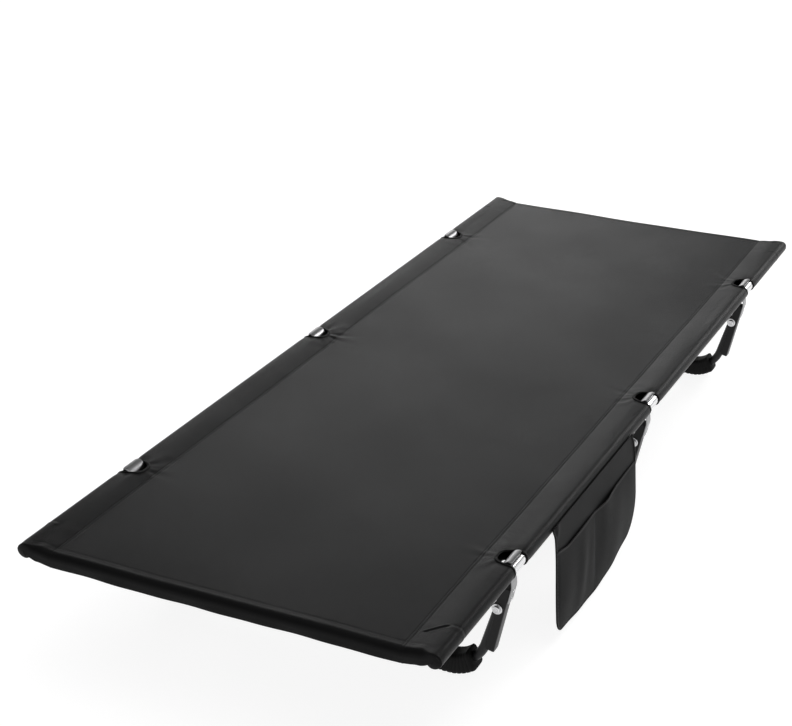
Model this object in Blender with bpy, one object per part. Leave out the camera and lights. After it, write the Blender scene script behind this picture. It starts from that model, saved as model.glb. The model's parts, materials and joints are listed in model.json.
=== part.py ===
"""Low folding camp cot: a fabric bed on two sectioned side rails, held up and
stretched by three bent bow legs with over-centre hook levers, and a hanging side pocket.

Metres, +Z up, +Y along the bed.  The origin is at floor level, in the middle of the
whole object's box.
"""
import math

import bmesh
import bpy

# Bed and rails
LENGTH = 1.90                 # over the two padded rail tips
RAIL_SPAN = 0.688             # between the two rail centre lines
RAIL_HEIGHT = 0.213           # rail centre line above the floor
RAIL_R = 0.010
RAIL_WALL = 0.0012
RAIL_SECTIONS = 4
CAP_FLANGE = 0.003
CAP_SPIGOT = 0.016
RAIL_FERRULE_LENGTH = 0.090
FERRULE_WALL = 0.0012
CORD_R = 0.0018
GAP = 0.0003                  # kept between touching pieces
RAIL_SIDES = 20
FERRULE_SIDES = 12
BOW_SIDES = 10
SMALL_SIDES = 8

# Fabric
CLOTH = 0.0015
SLEEVE_TOP = math.radians(96)         # where the sleeve leaves the rail's top
SLEEVE_TANGENT = math.radians(-110.4) # where the sleeve leaves the rail's underside
SEAM_SINK = 0.005             # seam and flat sheet under the sleeve's top
SLEEVE_IN_R = 0.0110
SLEEVE_OUT_R = SLEEVE_IN_R + CLOTH
SEAM_INSET = 0.048            # sleeve seam inboard of the rail centre
SHEET_END = 0.937             # half length of the sheet between the rail tips
TIP_INSET = 0.016             # the rail tips stand clear of the sheet end from here
TIP_CORNER_R = 0.009
WEBBING_DROP = 0.020
NOTCH_HALF = 0.0245           # half length of a hook notch along the rail
NOTCH_REACH = 0.262           # the notch reaches this far in, room for the hook's swing
NOTCH_CORNER_R = 0.018

# Legs
LEG_Y = (-0.65, 0.0, 0.65)
PIVOT_X = 0.3225              # lever rivet, from the bed's centre line
PIVOT_DROP = 0.077            # rivet below the rail centre
BOW_R = 0.008
BOW_WALL = 0.0012
BOW_TOP = 0.0045              # tube end above the rivet
BOW_LEAN = math.radians(15.8)
BEND_R = 0.060
BELLY_RISE = math.radians(8.0)
BOW_FERRULE_LENGTH = 0.080
FOOT_HALF_WIDTH = 0.019
FOOT_SOLE = 0.0100            # rubber under the tube
FOOT_ROOF = 0.0085            # rubber over the tube
FOOT_FLAT = math.radians(6)   # half angle of the flat sole, seen from the bend's centre
FOOT_LIP = math.radians(-50)  # outer upper edge, seen from the bend's centre
FOOT_HORN = math.radians(-42)
FOOT_TOE = math.radians(-122)
FOOT_TOE_ROOF = math.radians(-112)
# The bend's centre stands so that the sole is on the floor.
BEND_HEIGHT = (BEND_R + BOW_R + FOOT_SOLE) * math.cos(FOOT_FLAT)
BOW_STRAIGHT = ((RAIL_HEIGHT - PIVOT_DROP + BEND_R * math.sin(BOW_LEAN) - BEND_HEIGHT)
                / math.cos(BOW_LEAN))

# Lever, hook and rivet
LEVER_LEAN = math.radians(11.6)
LEVER_FACE = 0.0125           # rivet axis to the lever's outer face
LEVER_UP = 0.040
LEVER_DOWN = 0.0800
LEVER_HALF_WIDTH = 0.011
LEVER_WALL = 0.0018
LEVER_HUB_R = 0.0098
LEVER_TOP_DEPTH = 0.0150
LEVER_TAIL_DEPTH = 0.0145
LEVER_TAIL_R = 0.0040
LEVER_HUB_BELOW = math.radians(55)    # the swell round the rivet, below and above it
LEVER_HUB_ABOVE = math.radians(62)
HOOK_HALF_WIDTH = 0.0215
HOOK_WALL = 0.0052
HOOK_FROM = math.radians(76)
HOOK_TO = math.radians(256)
HOOK_BEVEL = math.radians(246)        # outer face stops short of the hook's inner end
TANG_WALL = 0.0026
TANG_END = 0.014              # tang's lower edge above the rivet
ARM_SHOULDER = 0.0055         # where the arm bends in, above the lever's top
ARM_EASE = 0.0035
ARM_PROFILE = ((0.0041, 0.0060), (0.0101, 0.0170), (0.0106, 0.0200), (0.0061, 0.0207),
               (0.0021, 0.0100))     # arm's (depth, height over its shoulder)
RIVET_R = 0.003
WASHER_R = 0.009
WASHER_WALL = 0.0014
HEAD_R = 0.006
HEAD_HEIGHT = 0.0042

# Side pocket
POCKET_Y = (-0.516, -0.126)
POCKET_HINGE_OUT = 0.0135     # hinge line outboard of the rail centre
POCKET_HINGE_DROP = 0.003
POCKET_LEAN = math.radians(3.9)
POCKET_TOP = 0.004
POCKET_LENGTH = 0.198
POCKET_MOUTH = 0.055
POCKET_DEPTH = 0.0150
POCKET_DIVIDER_Y = -0.340
POCKET_NEAR_R = 0.030
POCKET_FAR_R = 0.055

# The pocket makes the box lopsided, so the bed stands off the middle by this much.
POCKET_OUT_X = (RAIL_SPAN / 2 + POCKET_HINGE_OUT + POCKET_LENGTH * math.sin(POCKET_LEAN)
                + POCKET_DEPTH * math.cos(POCKET_LEAN))
BED_X = -(POCKET_OUT_X - (RAIL_SPAN / 2 + SLEEVE_OUT_R)) / 2


def clear_scene():
    for old in list(bpy.data.objects):
        bpy.data.objects.remove(old, do_unlink=True)


def material(name, colour, roughness, metallic):
    made = bpy.data.materials.new(name)
    made.use_nodes = True
    shader = made.node_tree.nodes["Principled BSDF"]
    shader.inputs["Base Color"].default_value = (*colour, 1.0)
    shader.inputs["Roughness"].default_value = roughness
    shader.inputs["Metallic"].default_value = metallic
    return made


def add_mesh(name, points, faces, finish, parent=None):
    """One closed body with its faces pointing out."""
    mesh = bpy.data.meshes.new(name)
    mesh.from_pydata(points, [], faces)
    shaped = bmesh.new()
    shaped.from_mesh(mesh)
    bmesh.ops.recalc_face_normals(shaped, faces=shaped.faces)
    shaped.to_mesh(mesh)
    shaped.free()
    if finish:
        mesh.materials.append(finish)
    mesh.shade_smooth()
    mesh.set_sharp_from_angle(angle=math.radians(35))
    piece = bpy.data.objects.new(name, mesh)
    bpy.context.scene.collection.objects.link(piece)
    piece.parent = parent
    return piece


def add_empty(name, place):
    empty = bpy.data.objects.new(name, None)
    empty.location = place
    bpy.context.scene.collection.objects.link(empty)
    return empty


def ring_faces(first, second, count):
    """Quads that join two rings of the same number of points."""
    return [(first + i, first + (i + 1) % count, second + (i + 1) % count, second + i)
            for i in range(count)]


def swept_tube(name, path, outer, inner, sides, finish, parent=None):
    """A tube along a path in the XZ plane, given as (x, y, z, heading) points.
    With an inner radius it is open at both ends."""
    points = []
    faces = []
    radii = (outer, inner) if inner else (outer,)
    for radius in radii:
        for x, y, z, heading in path:
            for i in range(sides):
                turn = 2 * math.pi * i / sides
                across = radius * math.cos(turn)
                points.append((x - across * math.sin(heading), y + radius * math.sin(turn),
                               z + across * math.cos(heading)))
    rings = len(path)
    for shell in range(len(radii)):
        for ring in range(rings - 1):
            start = (shell * rings + ring) * sides
            faces += ring_faces(start, start + sides, sides)
    if inner:
        faces += ring_faces(0, rings * sides, sides)
        faces += ring_faces((rings - 1) * sides, (2 * rings - 1) * sides, sides)
    else:
        faces.append(tuple(range(sides)))
        faces.append(tuple(range((rings - 1) * sides, rings * sides)))
    return add_mesh(name, points, faces, finish, parent)


def turned(name, x, z, stations, sides, finish, parent=None):
    """A round piece turned about a line along Y: stations are (y, radius), the last
    one joined to the first when the piece is hollow, else closed by flat ends."""
    hollow = stations[0] == stations[-1]
    rows = stations[:-1] if hollow else stations
    points = []
    faces = []
    for y, radius in rows:
        for i in range(sides):
            turn = 2 * math.pi * i / sides
            points.append((x + radius * math.cos(turn), y, z + radius * math.sin(turn)))
    for row in range(len(rows) - 1):
        faces += ring_faces(row * sides, (row + 1) * sides, sides)
    if hollow:
        faces += ring_faces((len(rows) - 1) * sides, 0, sides)
    else:
        faces.append(tuple(range(sides)))
        faces.append(tuple(range((len(rows) - 1) * sides, len(rows) * sides)))
    return add_mesh(name, points, faces, finish, parent)


def prism(name, outline, low, high, place, finish, parent=None):
    """An outline of (a, b) points extruded from low to high.  place(a, b, c) gives
    the point in space."""
    count = len(outline)
    points = [place(a, b, low) for a, b in outline] + [place(a, b, high) for a, b in outline]
    faces = ring_faces(0, count, count)
    faces.append(tuple(range(count)))
    faces.append(tuple(range(count, 2 * count)))
    return add_mesh(name, points, faces, finish, parent)


def along_y(a, b, c):
    return (a, c, b)


def along_z(a, b, c):
    return (a, b, c)


def arc(centre_a, centre_b, radius, start, end, steps):
    return [(centre_a + radius * math.cos(start + (end - start) * i / steps),
             centre_b + radius * math.sin(start + (end - start) * i / steps))
            for i in range(steps + 1)]


def shape_with(piece, tool, operation):
    """Cut or join one piece with a hidden tool solid."""
    tool.display_type = 'WIRE'
    tool.hide_render = True
    change = piece.modifiers.new(tool.name, 'BOOLEAN')
    change.operation = operation
    change.solver = 'EXACT'
    change.object = tool
    return piece


def tube_stations(low, high, outer, inner):
    return [(low, outer), (high, outer), (high, inner), (low, inner), (low, outer)]


def build_rail(side, label, metal, plastic, elastic):
    """Sectioned side rail: butted tubes on inner ferrules, end caps, elastic cord."""
    x = BED_X + side * RAIL_SPAN / 2
    tip = LENGTH / 2 - CLOTH - GAP
    tube_end = tip - CAP_FLANGE - GAP
    section = 2 * tube_end / RAIL_SECTIONS
    bore = RAIL_R - RAIL_WALL
    plug_r = bore - GAP
    for i in range(RAIL_SECTIONS):
        low = -tube_end + i * section + (GAP / 2 if i else 0)
        high = -tube_end + (i + 1) * section - (GAP / 2 if i < RAIL_SECTIONS - 1 else 0)
        turned(f"rail_tube_{label}_{i + 1}", x, RAIL_HEIGHT,
               tube_stations(low, high, RAIL_R, bore), RAIL_SIDES, metal)
    for i in range(1, RAIL_SECTIONS):
        middle = -tube_end + i * section
        half = RAIL_FERRULE_LENGTH / 2
        turned(f"rail_ferrule_{label}_{i}", x, RAIL_HEIGHT,
               tube_stations(middle - half, middle + half, plug_r, plug_r - FERRULE_WALL),
               FERRULE_SIDES, metal)
    spigot_end = tip - CAP_FLANGE - CAP_SPIGOT
    for end, word in ((-1, "near"), (1, "far")):
        stations = [(end * tip, RAIL_R), (end * (tip - CAP_FLANGE), RAIL_R),
                    (end * (tip - CAP_FLANGE), plug_r), (end * spigot_end, plug_r)]
        turned(f"rail_cap_{label}_{word}", x, RAIL_HEIGHT, stations, FERRULE_SIDES, plastic)
    cord_end = spigot_end - GAP
    turned(f"rail_cord_{label}", x, RAIL_HEIGHT,
           [(-cord_end, CORD_R), (cord_end, CORD_R)], SMALL_SIDES, elastic)


def bed_outline(radius, seam_low):
    """Half of the bed's section round the right rail, from near the top of the rail to
    the inner seam: a circle closed by its tangent to the seam."""
    rail_x = RAIL_SPAN / 2
    points = arc(rail_x, 0, radius, SLEEVE_TOP, SLEEVE_TANGENT, 10)
    points.append((rail_x - SEAM_INSET, seam_low))
    return points


def build_sheet(cloth):
    """Stretched sheet with a closed sleeve along each rail, notched for the hooks."""
    def place(a, b, c):
        return (BED_X + a, c, RAIL_HEIGHT + b)

    seam_x = RAIL_SPAN / 2 - SEAM_INSET
    flat_top = SLEEVE_OUT_R - SEAM_SINK
    right = [(seam_x, flat_top)] + bed_outline(SLEEVE_OUT_R, flat_top - 2 * CLOTH)
    right.append((seam_x, flat_top - CLOTH))
    left = [(-a, b) for a, b in reversed(right)]
    half = LENGTH / 2
    sheet = prism("bed_sheet", right + left, -half, half, place, cloth)

    inner = bed_outline(SLEEVE_IN_R, flat_top - CLOTH)
    for side, word in ((1, "right"), (-1, "left")):
        hollow = [(side * a, b) for a, b in inner]
        cavity = prism(f"cut_sleeve_{word}", hollow, -half + CLOTH, half - CLOTH, place, None)
        shape_with(sheet, cavity, 'DIFFERENCE')
        for number, leg_y in enumerate(LEG_Y, 1):
            shape_with(sheet, notch_cutter(side, leg_y, f"cut_notch_{word}_{number}"),
                       'DIFFERENCE')
    for end, word in ((-1, "near"), (1, "far")):
        shape_with(sheet, end_cutter(end, f"cut_end_{word}"), 'DIFFERENCE')
    return sheet


def notch_cutter(side, leg_y, name):
    """A notch open at the bed's side, round at its inner corners."""
    inner = NOTCH_REACH
    outer = RAIL_SPAN / 2 + 2 * SLEEVE_OUT_R
    r = NOTCH_CORNER_R
    outline = [(outer, leg_y - NOTCH_HALF), (outer, leg_y + NOTCH_HALF)]
    outline += arc(inner + r, leg_y + NOTCH_HALF - r, r, math.pi / 2, math.pi, 3)
    outline += arc(inner + r, leg_y - NOTCH_HALF + r, r, math.pi, 1.5 * math.pi, 3)
    outline = [(BED_X + side * a, b) for a, b in outline]
    reach = 2 * SLEEVE_OUT_R
    return prism(name, outline, RAIL_HEIGHT - reach, RAIL_HEIGHT + reach, along_z, None)


def end_cutter(end, name):
    """Clears the sheet's end between the two rail tips."""
    edge = RAIL_SPAN / 2 - TIP_INSET
    r = TIP_CORNER_R
    beyond = LENGTH / 2 + r
    outline = [(edge, beyond)]
    outline += arc(edge - r, SHEET_END + r, r, 0, -math.pi / 2, 4)
    outline += [(-a, b) for a, b in reversed(outline)]
    outline = [(BED_X + a, end * b) for a, b in outline]
    reach = 2 * SLEEVE_OUT_R
    return prism(name, outline, RAIL_HEIGHT - reach, RAIL_HEIGHT + reach, along_z, None)


def build_end_webbing(end, word, cloth):
    """Webbing sewn in the turned-down hem at an end of the sheet."""
    half = RAIL_SPAN / 2 - SEAM_INSET
    top = RAIL_HEIGHT + SLEEVE_IN_R - SEAM_SINK - GAP
    face = end * (SHEET_END - 0.0004)
    inside = end * (SHEET_END - 0.0004 - CLOTH)
    outline = [(BED_X - half, face), (BED_X + half, face), (BED_X + half, inside),
               (BED_X - half, inside)]
    prism(f"end_webbing_{word}", outline, top - WEBBING_DROP, top, along_z, cloth)


def bow_path():
    """Right half of a bow in (x, z, heading) from its top end to the middle of the cot:
    straight down, round the bend, then a long shallow rise."""
    pivot_z = RAIL_HEIGHT - PIVOT_DROP
    heading = -math.pi / 2 - BOW_LEAN
    down = (math.cos(heading), math.sin(heading))
    path = [(PIVOT_X - BOW_TOP * down[0], pivot_z - BOW_TOP * down[1], heading)]
    x = PIVOT_X + BOW_STRAIGHT * down[0]
    z = pivot_z + BOW_STRAIGHT * down[1]
    path.append((x, z, heading))
    bend = math.pi / 2 - BOW_LEAN + BELLY_RISE
    centre_x = x + BEND_R * math.cos(heading - math.pi / 2)
    centre_z = z + BEND_R * math.sin(heading - math.pi / 2)
    steps = 7
    for i in range(1, steps + 1):
        turned_to = heading - bend * i / steps
        path.append((centre_x + BEND_R * math.cos(turned_to + math.pi / 2),
                     centre_z + BEND_R * math.sin(turned_to + math.pi / 2), turned_to))
    end_x, end_z, end_heading = path[-1]
    belly_r = (end_x - GAP / 2) / math.sin(BELLY_RISE)
    top_z = end_z + belly_r * (1 - math.cos(BELLY_RISE))
    steps = 3
    for i in range(1, steps + 1):
        slope = BELLY_RISE * (1 - i / steps)
        path.append((GAP / 2 + belly_r * math.sin(slope),
                     top_z - belly_r * (1 - math.cos(slope)), -math.pi - slope))
    return path, belly_r, top_z


def build_bow(number, leg_y, metal):
    """Bow leg in two halves, joined in the middle on an inner ferrule."""
    path, belly_r, top_z = bow_path()
    pivot_z = RAIL_HEIGHT - PIVOT_DROP
    for side, word in ((-1, "left"), (1, "right")):
        placed = []
        for x, z, heading in path:
            placed.append((BED_X + side * x, leg_y, z,
                           heading if side > 0 else math.pi - heading))
        half = swept_tube(f"bow_{word}_{number}", placed, BOW_R, BOW_R - BOW_WALL, BOW_SIDES,
                          metal)
        hole = turned(f"cut_bow_{word}_{number}", BED_X + side * PIVOT_X, pivot_z,
                      [(leg_y - 2 * BOW_R, RIVET_R + GAP), (leg_y + 2 * BOW_R, RIVET_R + GAP)],
                      SMALL_SIDES, None)
        shape_with(half, hole, 'DIFFERENCE')
    reach = BOW_FERRULE_LENGTH / 2 / belly_r
    placed = []
    steps = 4
    for i in range(steps + 1):
        slope = reach * (2 * i / steps - 1)
        placed.append((BED_X + belly_r * math.sin(slope), leg_y,
                       top_z - belly_r * (1 - math.cos(slope)), -slope))
    outer = BOW_R - BOW_WALL - 2 * GAP
    swept_tube(f"bow_ferrule_{number}", placed, outer, outer - FERRULE_WALL, SMALL_SIDES, metal)


def build_foot(number, side, word, leg_y, rubber):
    """Moulded rubber boot round the bend, with a flat sole and a flared outer lip."""
    path = bow_path()[0]
    bend_start = path[1]
    centre_x = bend_start[0] - BEND_R * math.cos(BOW_LEAN)
    centre_z = bend_start[1] + BEND_R * math.sin(BOW_LEAN)
    outer_r = BEND_R + BOW_R + FOOT_SOLE
    roof_r = BEND_R - BOW_R - FOOT_ROOF
    sole = -math.pi / 2
    outline = arc(centre_x, centre_z, outer_r, FOOT_LIP, sole + FOOT_FLAT, 5)
    outline += arc(centre_x, centre_z, outer_r, sole - FOOT_FLAT, FOOT_TOE, 2)
    outline += arc(centre_x, centre_z, roof_r, FOOT_TOE_ROOF, FOOT_HORN, 6)
    foot = prism(f"foot_{word}_{number}",
                 [(BED_X + side * a, b) for a, b in outline],
                 leg_y - FOOT_HALF_WIDTH, leg_y + FOOT_HALF_WIDTH, along_y, rubber)
    placed = [(BED_X + side * x, leg_y, z, heading if side > 0 else math.pi - heading)
              for x, z, heading in path]
    tunnel = swept_tube(f"cut_foot_{word}_{number}", placed, BOW_R + 2 * GAP, 0,
                        BOW_SIDES, None)
    return shape_with(foot, tunnel, 'DIFFERENCE')


def lever_outline(inset):
    """Side of the lever in (inward depth from its face, height above the rivet):
    a slim channel that swells round the rivet."""
    if inset:
        beyond = 2 * LEVER_FACE + LEVER_HUB_R
        return [(inset, 2 * LEVER_UP), (inset, -2 * LEVER_DOWN),
                (beyond, -2 * LEVER_DOWN), (beyond, 2 * LEVER_UP)]
    tail = -LEVER_DOWN + LEVER_TAIL_R
    points = [(0, LEVER_UP), (0, tail)]
    points += arc(LEVER_TAIL_R, tail, LEVER_TAIL_R, math.pi, 1.5 * math.pi, 3)[1:]
    points += arc(LEVER_TAIL_DEPTH - LEVER_TAIL_R, tail, LEVER_TAIL_R, -math.pi / 2, 0, 3)
    points += [(LEVER_TAIL_DEPTH, -LEVER_DOWN / 2)]
    points += arc(LEVER_FACE, 0, LEVER_HUB_R, -LEVER_HUB_BELOW, LEVER_HUB_ABOVE, 7)
    points += [(LEVER_TOP_DEPTH, LEVER_UP / 2), (LEVER_TOP_DEPTH, LEVER_UP)]
    return points


def lever_place(side):
    """Puts (depth, height, y) of the right lever into its pivot's own frame."""
    def place(depth, height, y):
        out = LEVER_FACE - depth
        x = out * math.cos(LEVER_LEAN) + height * math.sin(LEVER_LEAN)
        z = -out * math.sin(LEVER_LEAN) + height * math.cos(LEVER_LEAN)
        return (side * x, y, z)
    return place


def build_lever(number, side, word, pivot, metal):
    """Pressed channel lever: a web facing outward and two flanges on the rivet."""
    place = lever_place(side)
    lever = prism(f"lever_{word}_{number}", lever_outline(0), -LEVER_HALF_WIDTH,
                  LEVER_HALF_WIDTH, place, metal, pivot)
    inner_half = LEVER_HALF_WIDTH - LEVER_WALL
    channel = prism(f"cut_channel_{word}_{number}", lever_outline(LEVER_WALL), -inner_half,
                    inner_half, place, None, pivot)
    reach = 2 * LEVER_HALF_WIDTH
    hole = turned(f"cut_rivet_{word}_{number}", 0, 0,
                  [(-reach, RIVET_R + GAP), (reach, RIVET_R + GAP)], FERRULE_SIDES, None, pivot)
    shape_with(lever, channel, 'DIFFERENCE')
    return shape_with(lever, hole, 'DIFFERENCE')


def hook_arc(radius, start, end, steps):
    """Arc about the rail's centre, in the right pivot's own frame."""
    return arc(RAIL_SPAN / 2 - PIVOT_X, PIVOT_DROP, radius, start, end, steps)


def build_hook(number, side, word, pivot, metal):
    """Open hook over the rail, and the tang that joins it to the lever's face."""
    inner = RAIL_R + GAP
    outline = hook_arc(inner, HOOK_FROM, HOOK_TO, 10)
    outline += hook_arc(inner + HOOK_WALL, HOOK_BEVEL, HOOK_FROM, 9)
    hook = prism(f"hook_{word}_{number}", [(side * a, b) for a, b in outline],
                 -HOOK_HALF_WIDTH, HOOK_HALF_WIDTH, along_y, metal, pivot)

    to_frame = lever_place(side)
    face = -GAP
    shoulder = LEVER_UP + ARM_SHOULDER
    arm_points = [(depth, shoulder + rise) for depth, rise in ARM_PROFILE]
    tang_points = ([(face, TANG_END), (face, shoulder - ARM_EASE)] + arm_points
                   + [(face - TANG_WALL, shoulder), (face - TANG_WALL, TANG_END)])
    tang = [to_frame(depth, height, 0) for depth, height in tang_points]
    arm = prism(f"join_tang_{word}_{number}", [(a, c) for a, b, c in tang],
                -LEVER_HALF_WIDTH, LEVER_HALF_WIDTH, along_y, None, pivot)
    return shape_with(hook, arm, 'UNION')


def build_rivet(number, side, word, leg_y, metal):
    """Headed pivot rivet with its two washers, fixed in the bow tube."""
    flange = LEVER_HALF_WIDTH + GAP
    washer = flange + WASHER_WALL
    half = [(flange, RIVET_R), (flange, WASHER_R), (washer, WASHER_R), (washer, HEAD_R),
            (washer + HEAD_HEIGHT, HEAD_R)]
    stations = [(leg_y - y, r) for y, r in reversed(half)]
    stations += [(leg_y + y, r) for y, r in half]
    turned(f"pivot_rivet_{word}_{number}", BED_X + side * PIVOT_X, RAIL_HEIGHT - PIVOT_DROP,
           stations, FERRULE_SIDES, metal)


def pocket_place(y, down, depth):
    """Pocket point in its hinge's own frame: down the panel and outward from it."""
    x = down * math.sin(POCKET_LEAN) + depth * math.cos(POCKET_LEAN)
    z = -down * math.cos(POCKET_LEAN) + depth * math.sin(POCKET_LEAN)
    return (x, y, z)


def pocket_outline(near, far, top, bottom, near_r, far_r):
    """Pocket shape in (y, down) with round lower corners."""
    outline = [(near, top), (far, top)]
    outline += arc(far - far_r, bottom - far_r, far_r, 0, math.pi / 2, 5)
    outline += arc(near + near_r, bottom - near_r, near_r, math.pi / 2, math.pi, 5)
    return outline


def build_pocket(cloth):
    """Hanging organiser: a back panel and a pouch in two compartments."""
    hinge = add_empty("pocket_hinge_axis",
                      (BED_X + RAIL_SPAN / 2 + POCKET_HINGE_OUT, 0,
                       RAIL_HEIGHT - POCKET_HINGE_DROP))
    near, far = POCKET_Y
    panel = pocket_outline(near, far, POCKET_TOP, POCKET_LENGTH, POCKET_NEAR_R, POCKET_FAR_R)
    prism("pocket_panel", panel, 0, CLOTH, pocket_place, cloth, hinge)
    pouch_back = CLOTH + GAP
    shape = pocket_outline(near, far, POCKET_MOUTH, POCKET_LENGTH, POCKET_NEAR_R,
                           POCKET_FAR_R)
    pouch = prism("pocket_pouch", shape, pouch_back, POCKET_DEPTH, pocket_place, cloth, hinge)
    half = CLOTH / 2
    above = POCKET_MOUTH / 2
    floor = POCKET_LENGTH - CLOTH
    spaces = ((near + CLOTH, POCKET_DIVIDER_Y - half, POCKET_NEAR_R - CLOTH, CLOTH),
              (POCKET_DIVIDER_Y + half, far - CLOTH, CLOTH, POCKET_FAR_R - CLOTH))
    for number, (low, high, low_r, high_r) in enumerate(spaces, 1):
        space = pocket_outline(low, high, above, floor, low_r, high_r)
        cutter = prism(f"cut_pouch_{number}", space, -POCKET_DEPTH, POCKET_DEPTH - CLOTH,
                       pocket_place, None, hinge)
        shape_with(pouch, cutter, 'DIFFERENCE')


def build():
    clear_scene()
    bright = material("bright_aluminium", (0.80, 0.80, 0.81), 0.22, 1.0)
    brushed = material("brushed_aluminium", (0.55, 0.55, 0.56), 0.38, 1.0)
    black_metal = material("black_anodised", (0.030, 0.030, 0.032), 0.42, 0.6)
    steel = material("bright_steel", (0.72, 0.72, 0.73), 0.20, 1.0)
    rubber = material("black_rubber", (0.012, 0.012, 0.012), 0.65, 0.0)
    plastic = material("black_plastic", (0.020, 0.020, 0.020), 0.50, 0.0)
    cloth = material("bed_cloth", (0.036, 0.036, 0.038), 0.75, 0.0)
    pocket_cloth = material("pocket_cloth", (0.024, 0.024, 0.026), 0.80, 0.0)
    elastic = material("elastic_cord", (0.020, 0.020, 0.020), 0.85, 0.0)

    for side, word in ((-1, "left"), (1, "right")):
        build_rail(side, word, bright, plastic, elastic)
    build_sheet(cloth)
    for end, word in ((-1, "near"), (1, "far")):
        build_end_webbing(end, word, cloth)
    for number, leg_y in enumerate(LEG_Y, 1):
        build_bow(number, leg_y, black_metal)
        for side, word in ((-1, "left"), (1, "right")):
            build_foot(number, side, word, leg_y, rubber)
            pivot = add_empty(f"pivot_{word}_{number}",
                              (BED_X + side * PIVOT_X, leg_y, RAIL_HEIGHT - PIVOT_DROP))
            build_lever(number, side, word, pivot, black_metal)
            build_hook(number, side, word, pivot, brushed)
            build_rivet(number, side, word, leg_y, steel)
    build_pocket(pocket_cloth)


build()
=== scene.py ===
import json
import math

import bmesh
import bpy
import numpy as np
from mathutils import Matrix, Vector


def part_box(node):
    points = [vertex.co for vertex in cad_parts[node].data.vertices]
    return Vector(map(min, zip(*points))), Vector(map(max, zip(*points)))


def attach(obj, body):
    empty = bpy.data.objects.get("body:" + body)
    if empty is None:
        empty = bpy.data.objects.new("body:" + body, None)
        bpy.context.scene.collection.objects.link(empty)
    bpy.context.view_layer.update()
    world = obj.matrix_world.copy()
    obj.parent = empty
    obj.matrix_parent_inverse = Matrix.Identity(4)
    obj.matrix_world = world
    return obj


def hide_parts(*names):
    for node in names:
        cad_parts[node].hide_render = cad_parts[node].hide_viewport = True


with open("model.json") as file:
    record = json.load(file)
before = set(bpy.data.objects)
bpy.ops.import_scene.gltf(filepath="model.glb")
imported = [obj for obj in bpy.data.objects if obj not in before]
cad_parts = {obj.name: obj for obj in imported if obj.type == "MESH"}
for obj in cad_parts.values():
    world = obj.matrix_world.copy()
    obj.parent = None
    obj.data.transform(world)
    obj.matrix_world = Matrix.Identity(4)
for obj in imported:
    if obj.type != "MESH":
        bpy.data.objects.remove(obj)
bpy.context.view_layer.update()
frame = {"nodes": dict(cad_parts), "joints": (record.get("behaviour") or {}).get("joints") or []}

# ---------------------------------------------------------------------------
# The studio: a plain pale floor, soft light from above and behind, and a camera
# that stands off the pocket side of the bed's near end.
# ---------------------------------------------------------------------------
left_rail_low, left_rail_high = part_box("rail_tube_left_2")
right_rail_low, right_rail_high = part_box("rail_tube_right_2")
rail_radius = (right_rail_high.x - right_rail_low.x) / 2
right_rail_x = (right_rail_low.x + right_rail_high.x) / 2
left_rail_x = (left_rail_low.x + left_rail_high.x) / 2
rail_z = (right_rail_low.z + right_rail_high.z) / 2
bed_x = (right_rail_x + left_rail_x) / 2
rail_out = right_rail_x - bed_x

camera_turn = math.radians(25.28)
camera_drop = math.radians(23.58)
camera_roll = math.radians(0.69)
camera_distance = 3.382
camera_aside = (0.150, -0.012)
camera_lens_mm = 81.2
level = np.array([math.cos(camera_turn), math.sin(camera_turn), 0.0])
camera_back = np.array([math.sin(camera_turn) * math.cos(camera_drop),
                        -math.cos(camera_turn) * math.cos(camera_drop),
                        math.sin(camera_drop)])
upright = np.cross(camera_back, level)
camera_right = math.cos(camera_roll) * level + math.sin(camera_roll) * upright
camera_up = np.cross(camera_back, camera_right)
camera_data = bpy.data.cameras.new("camera")
camera_data.lens = camera_lens_mm
camera = bpy.data.objects.new("camera", camera_data)
bpy.context.scene.collection.objects.link(camera)
place = (np.array([bed_x, 0.0, rail_z]) + camera_distance * camera_back
         - camera_aside[0] * camera_right - camera_aside[1] * camera_up)
pose = np.eye(4)
pose[:3, 0], pose[:3, 1], pose[:3, 2], pose[:3, 3] = camera_right, camera_up, camera_back, place
camera.matrix_world = Matrix(pose.tolist())
bpy.context.scene.camera = camera
bpy.context.scene.view_settings.view_transform = 'Standard'


def add_node(tree, kind, values=None, links=None, **settings):
    """Adds a node, sets its sockets from values and its properties from settings, and
    feeds its sockets from links."""
    node = tree.nodes.new("ShaderNode" + kind)
    for name, value in settings.items():
        setattr(node, name, value)
    for socket, value in (values or {}).items():
        node.inputs[socket].default_value = value
    for socket, source in (links or {}).items():
        tree.links.new(source, node.inputs[socket])
    return node


def new_material(name, colour, roughness, metallic=0.0):
    """A Principled material with one colour, and its node tree and shader."""
    made = bpy.data.materials.new(name)
    made.use_nodes = True
    shader = made.node_tree.nodes["Principled BSDF"]
    shader.inputs["Base Color"].default_value = (*colour, 1.0)
    shader.inputs["Roughness"].default_value = roughness
    shader.inputs["Metallic"].default_value = metallic
    return made, made.node_tree, shader


floor_half = 14.0
floor_corners = [(-floor_half, -floor_half, 0), (floor_half, -floor_half, 0),
                 (floor_half, floor_half, 0), (-floor_half, floor_half, 0)]
floor_mesh = bpy.data.meshes.new("studio_floor")
floor_mesh.from_pydata(floor_corners, [], [(0, 1, 2, 3)])
floor = bpy.data.objects.new("studio_floor", floor_mesh)
floor_paint, _, floor_shader = new_material("floor_paint", (0.32, 0.32, 0.32), 0.8)
floor_shader.inputs["Emission Color"].default_value = (1.0, 1.0, 1.0, 1.0)
floor_shader.inputs["Emission Strength"].default_value = 0.88
floor_mesh.materials.append(floor_paint)
bpy.context.scene.collection.objects.link(floor)

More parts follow.
